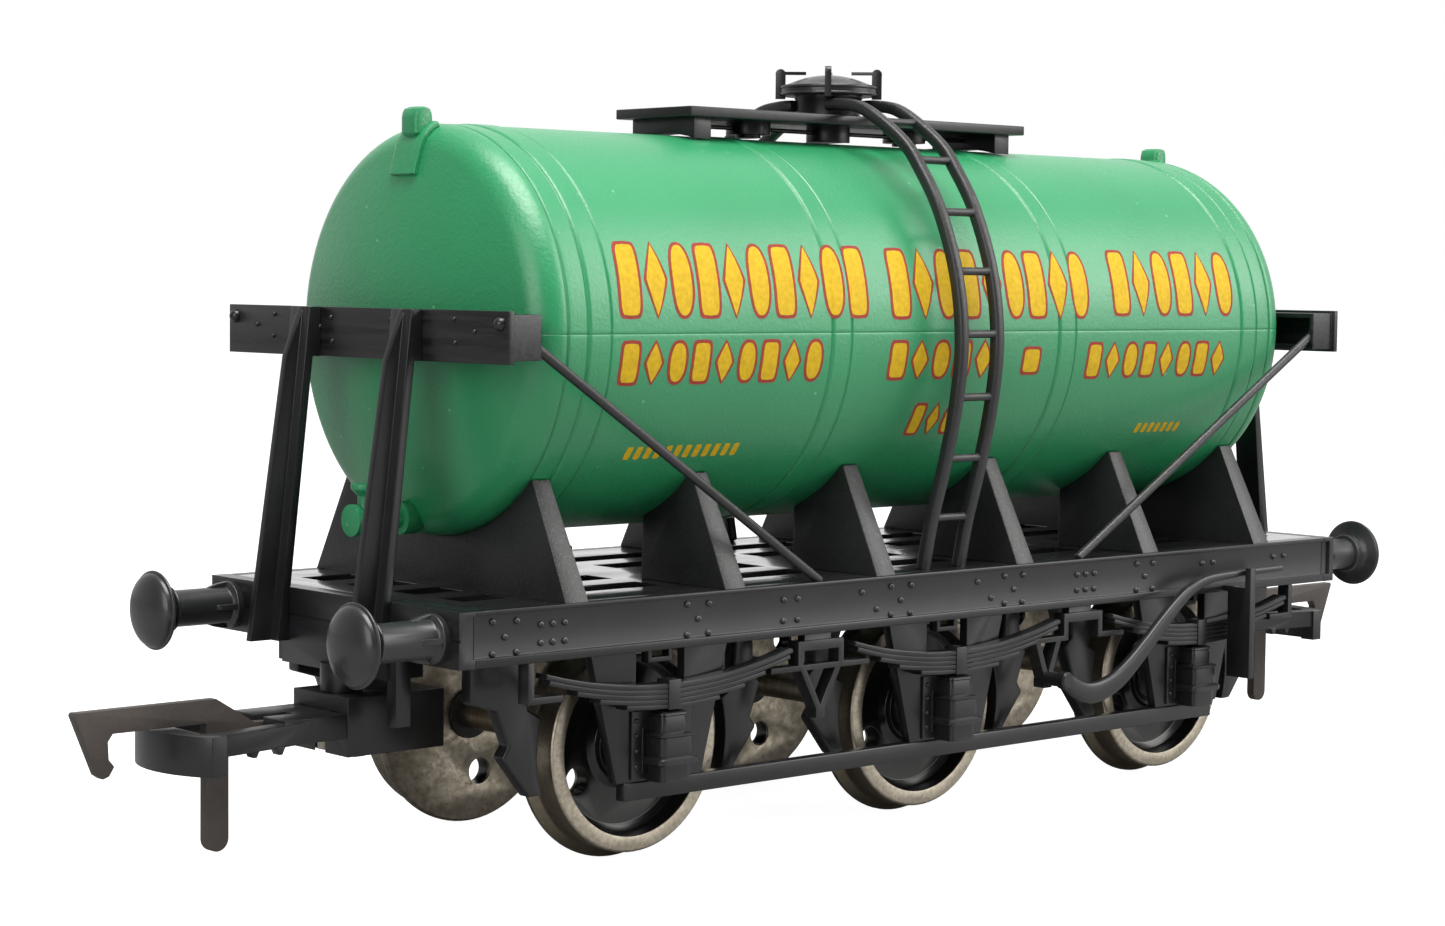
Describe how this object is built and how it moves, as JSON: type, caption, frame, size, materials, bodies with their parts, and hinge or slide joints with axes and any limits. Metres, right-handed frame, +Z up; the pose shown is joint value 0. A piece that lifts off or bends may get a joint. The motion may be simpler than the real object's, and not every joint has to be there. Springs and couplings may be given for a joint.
{
  "type": "model tank wagon",
  "caption": "Model railway tank wagon: a round green tank on saddles, braced end frames, ladders, leaf-sprung wheelsets, buffers and hook couplings.",
  "frame": {"origin": "centre of the overall box, at the level of the lowest points of the wheel flanges", "axes": "+X along the wagon from front to rear, +Y to its right side, +Z up"},
  "size_m": [0.1208, 0.0318, 0.0517],
  "materials": {
    "tank_green": "satin paint with a fine grain",
    "frame_black": "satin moulded plastic",
    "top_black": "matt moulded plastic",
    "buffer_black": "gloss moulded plastic",
    "coupling_black": "satin moulded plastic",
    "hook_brown": "matt dark brown",
    "wheel_metal": "dull nickel with dark recesses",
    "steel": "plain turned steel",
    "bush_plastic": "plain moulded plastic"
  },
  "bodies": {
    "wagon": {"axleboxes_left": "frame_black", "axleboxes_right": "frame_black", "axleguards_left": "frame_black", "axleguards_right": "frame_black", "ballast_weight": "steel", "brake_lever_left": "frame_black", "brake_lever_right": "frame_black", "brake_shoes": "frame_black", "buffer_front_left": "buffer_black", "buffer_front_right": "buffer_black", "buffer_rear_left": "buffer_black", "buffer_rear_right": "buffer_black", "crossbeam_front": "frame_black", "crossbeam_rear": "frame_black", "deck": "frame_black", "hanger_brackets": "frame_black", "headstock_front": "frame_black", "headstock_rear": "frame_black", "keeper_bar_left": "frame_black", "keeper_bar_right": "frame_black", "ladder_left": "top_black", "ladder_right": "top_black", "lever_guards": "frame_black", "manhole_clamps": "top_black", "manhole_lid": "top_black", "manhole_neck": "top_black", "outlet_valve": "tank_green", "posts_front": "frame_black", "posts_rear": "frame_black", "saddle_1": "frame_black", "saddle_2": "frame_black", "saddle_3": "frame_black", "saddle_4": "frame_black", "saddle_5": "frame_black", "saddle_6": "frame_black", "screws": "steel", "solebar_left": "frame_black", "solebar_right": "frame_black", "springs_left": "frame_black", "springs_right": "frame_black", "tank_lower_shell": "tank_green", "tank_upper_shell": "tank_green", "tie_rods": "frame_black", "walkway": "top_black", "walkway_supports": "top_black"},
    "front_wheelset": {"axle_front": "steel", "wheels_front": "wheel_metal", "wheel_bushes_front": "bush_plastic"},
    "rear_wheelset": {"axle_rear": "steel", "wheels_rear": "wheel_metal", "wheel_bushes_rear": "bush_plastic"},
    "middle_axle": {"axle_middle": "steel"},
    "middle_wheels": {"wheels_middle": "wheel_metal", "wheel_bushes_middle": "bush_plastic"},
    "front_coupling": {"coupling_pocket_front": "coupling_black", "coupling_front": "coupling_black"},
    "front_hook": {"coupling_hook_front": "hook_brown"},
    "rear_coupling": {"coupling_pocket_rear": "coupling_black", "coupling_rear": "coupling_black"},
    "rear_hook": {"coupling_hook_rear": "hook_brown"}
  },
  "joints": [
    {"name": "front_wheels_turn", "type": "hinge", "parent": "wagon", "child": "front_wheelset", "pos_m": [-0.026, 0, 0.0074], "axis": [0, 1, 0], "continuous": true},
    {"name": "rear_wheels_turn", "type": "hinge", "parent": "wagon", "child": "rear_wheelset", "pos_m": [0.026, 0, 0.0074], "axis": [0, 1, 0], "continuous": true},
    {"name": "middle_axle_float", "type": "slide", "parent": "wagon", "child": "middle_axle", "axis": [0, 1, 0], "range_m": [-0.0005, 0.0005]},
    {"name": "middle_wheels_turn", "type": "hinge", "parent": "middle_axle", "child": "middle_wheels", "pos_m": [0, 0, 0.0074], "axis": [0, 1, 0], "continuous": true},
    {"name": "front_coupling_swing", "type": "hinge", "parent": "wagon", "child": "front_coupling", "pos_m": [-0.0415, 0, 0.0095], "axis": [0, 0, 1], "range_deg": [-8, 8]},
    {"name": "front_hook_lift", "type": "hinge", "parent": "front_coupling", "child": "front_hook", "pos_m": [-0.047, 0, 0.0092], "axis": [0, 1, 0], "range_deg": [0, 25]},
    {"name": "rear_coupling_swing", "type": "hinge", "parent": "wagon", "child": "rear_coupling", "pos_m": [0.0415, 0, 0.0095], "axis": [0, 0, 1], "range_deg": [-8, 8]},
    {"name": "rear_hook_lift", "type": "hinge", "parent": "rear_coupling", "child": "rear_hook", "pos_m": [0.047, 0, 0.0092], "axis": [0, -1, 0], "range_deg": [0, 25]}
  ]
}
